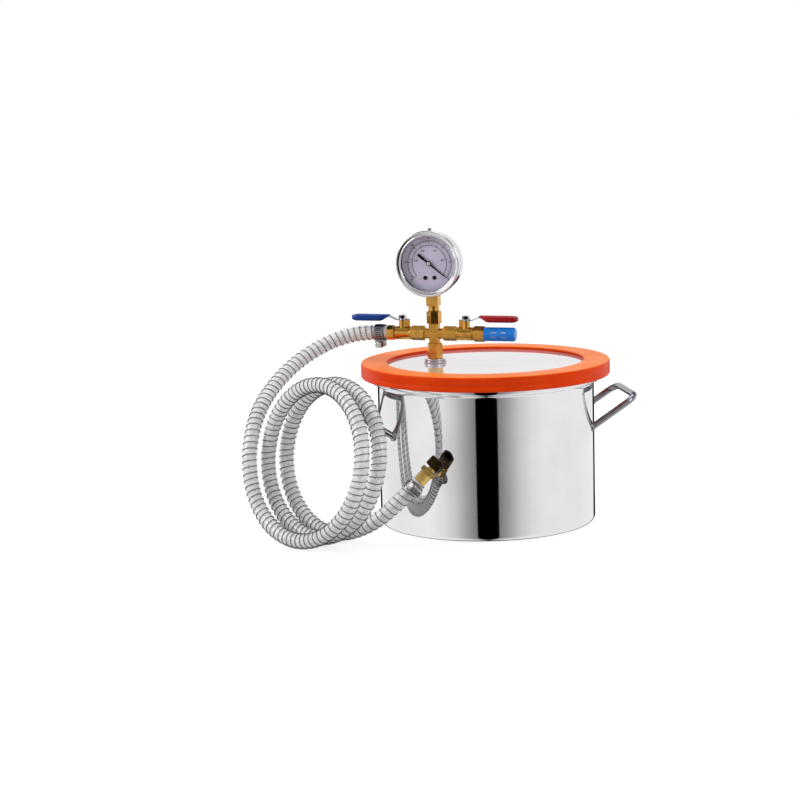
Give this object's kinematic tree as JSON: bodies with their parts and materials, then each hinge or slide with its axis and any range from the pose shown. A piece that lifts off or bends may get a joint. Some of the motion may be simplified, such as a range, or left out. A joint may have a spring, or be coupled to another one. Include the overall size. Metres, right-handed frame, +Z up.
{
  "type": "vacuum chamber",
  "caption": "Round steel degassing pot with a gasketed clear lid, a brass manifold with gauge and ball valves, an air filter and a coiled clear hose.",
  "frame": {"origin": "centre of the pot's bottom face, where it stands", "axes": "+Z up, +X along the manifold's run towards the air filter, the gauge faces -Y"},
  "size_m": [0.4188, 0.3804, 0.3401],
  "materials": {
    "polished_steel": "polished stainless sheet",
    "handle_steel": "bent stainless rod",
    "silicone": "moulded orange silicone",
    "acrylic": "clear cast acrylic",
    "washer_steel": "pressed steel washer",
    "brass": "turned and forged brass",
    "bronze": "phosphor bronze spring tube",
    "filter_plastic": "moulded plastic with slots",
    "filter_foam": "porous filter tube",
    "plated_steel": "bright plated steel",
    "dark_steel": "dark plated steel",
    "clear_pvc": "clear hose with a wire helix",
    "gauge_steel": "polished stainless steel",
    "gauge_glass": "flat clear lens",
    "seal_rubber": "black rubber",
    "dial_paint": "printed dial plate",
    "needle_black": "black painted pointer",
    "clamp_steel": "worm drive clamp, zinc plated",
    "ptfe": "turned fluoropolymer",
    "lever_steel": "stamped and plated lever",
    "left_sleeve_vinyl": "dipped blue vinyl sleeve",
    "right_sleeve_vinyl": "dipped red vinyl sleeve",
    "nut_chrome": "plated flange nut"
  },
  "bodies": {
    "chamber": {"pot": "polished_steel", "handle_right": "handle_steel", "handle_left": "handle_steel", "lid_gasket": "silicone", "lid_plate": "acrylic", "lid_washer_lower": "washer_steel", "lid_washer_upper": "washer_steel", "lid_washer_under": "washer_steel", "lid_nut": "brass", "lid_coupling": "brass", "manifold_cross": "brass", "gauge_coupling": "brass", "filter_base": "brass", "filter_cap": "filter_plastic", "filter_element": "filter_foam", "hose_barb": "brass", "hose_end_barb": "brass", "near_clamp_band": "clamp_steel", "near_clamp_housing": "clamp_steel", "near_clamp_screw": "plated_steel", "far_clamp_band": "clamp_steel", "far_clamp_housing": "clamp_steel", "far_clamp_screw": "plated_steel", "hose_run": "clear_pvc", "hose_coil": "clear_pvc", "hose_tail": "clear_pvc", "gauge_case": "gauge_steel", "gauge_bezel": "gauge_steel", "gauge_lens": "gauge_glass", "gauge_lens_seal": "seal_rubber", "gauge_dial": "dial_paint", "gauge_dial_screws": "plated_steel", "gauge_movement": "brass", "gauge_socket": "brass", "gauge_bourdon_tube": "bronze", "gauge_fill_plug": "seal_rubber", "left_valve_body": "brass", "left_valve_retainer": "brass", "left_valve_seats": "ptfe", "left_valve_packing": "ptfe", "right_valve_body": "brass", "right_valve_retainer": "brass", "right_valve_seats": "ptfe", "right_valve_packing": "ptfe"},
    "needle": {"gauge_needle": "needle_black"},
    "sector": {"gauge_sector": "brass"},
    "swivel": {"swivel_nut": "dark_steel"},
    "left_valve": {"left_valve_lever": "lever_steel", "left_valve_sleeve": "left_sleeve_vinyl", "left_valve_lever_nut": "nut_chrome", "left_valve_stem": "brass", "left_valve_ball": "plated_steel"},
    "right_valve": {"right_valve_lever": "lever_steel", "right_valve_sleeve": "right_sleeve_vinyl", "right_valve_lever_nut": "nut_chrome", "right_valve_stem": "brass", "right_valve_ball": "plated_steel"}
  },
  "joints": [
    {"name": "left_lever", "type": "hinge", "parent": "chamber", "child": "left_valve", "pos_m": [-0.0962, -0.008, 0.2185], "axis": [0, 0, -1], "range_deg": [0, 90]},
    {"name": "right_lever", "type": "hinge", "parent": "chamber", "child": "right_valve", "pos_m": [-0.0198, -0.008, 0.2185], "axis": [0, 0, -1], "range_deg": [0, 90]},
    {"name": "needle_turn", "type": "hinge", "parent": "chamber", "child": "needle", "pos_m": [-0.05947, -0.008, 0.30008], "axis": [0, -1, 0], "range_deg": [0, 260]},
    {"name": "sector_turn", "type": "hinge", "parent": "chamber", "child": "sector", "pos_m": [-0.05905, -0.008, 0.28019], "axis": [0, -1, 0], "range_deg": [-26, 0]},
    {"name": "nut_spin", "type": "hinge", "parent": "chamber", "child": "swivel", "pos_m": [-0.0228, -0.14151, 0.08603], "axis": [0.6571, 0.2997, 0.6917], "continuous": true}
  ],
  "couplings": [
    {"joint": "sector_turn", "follows": "needle_turn", "ratio": -0.1}
  ]
}
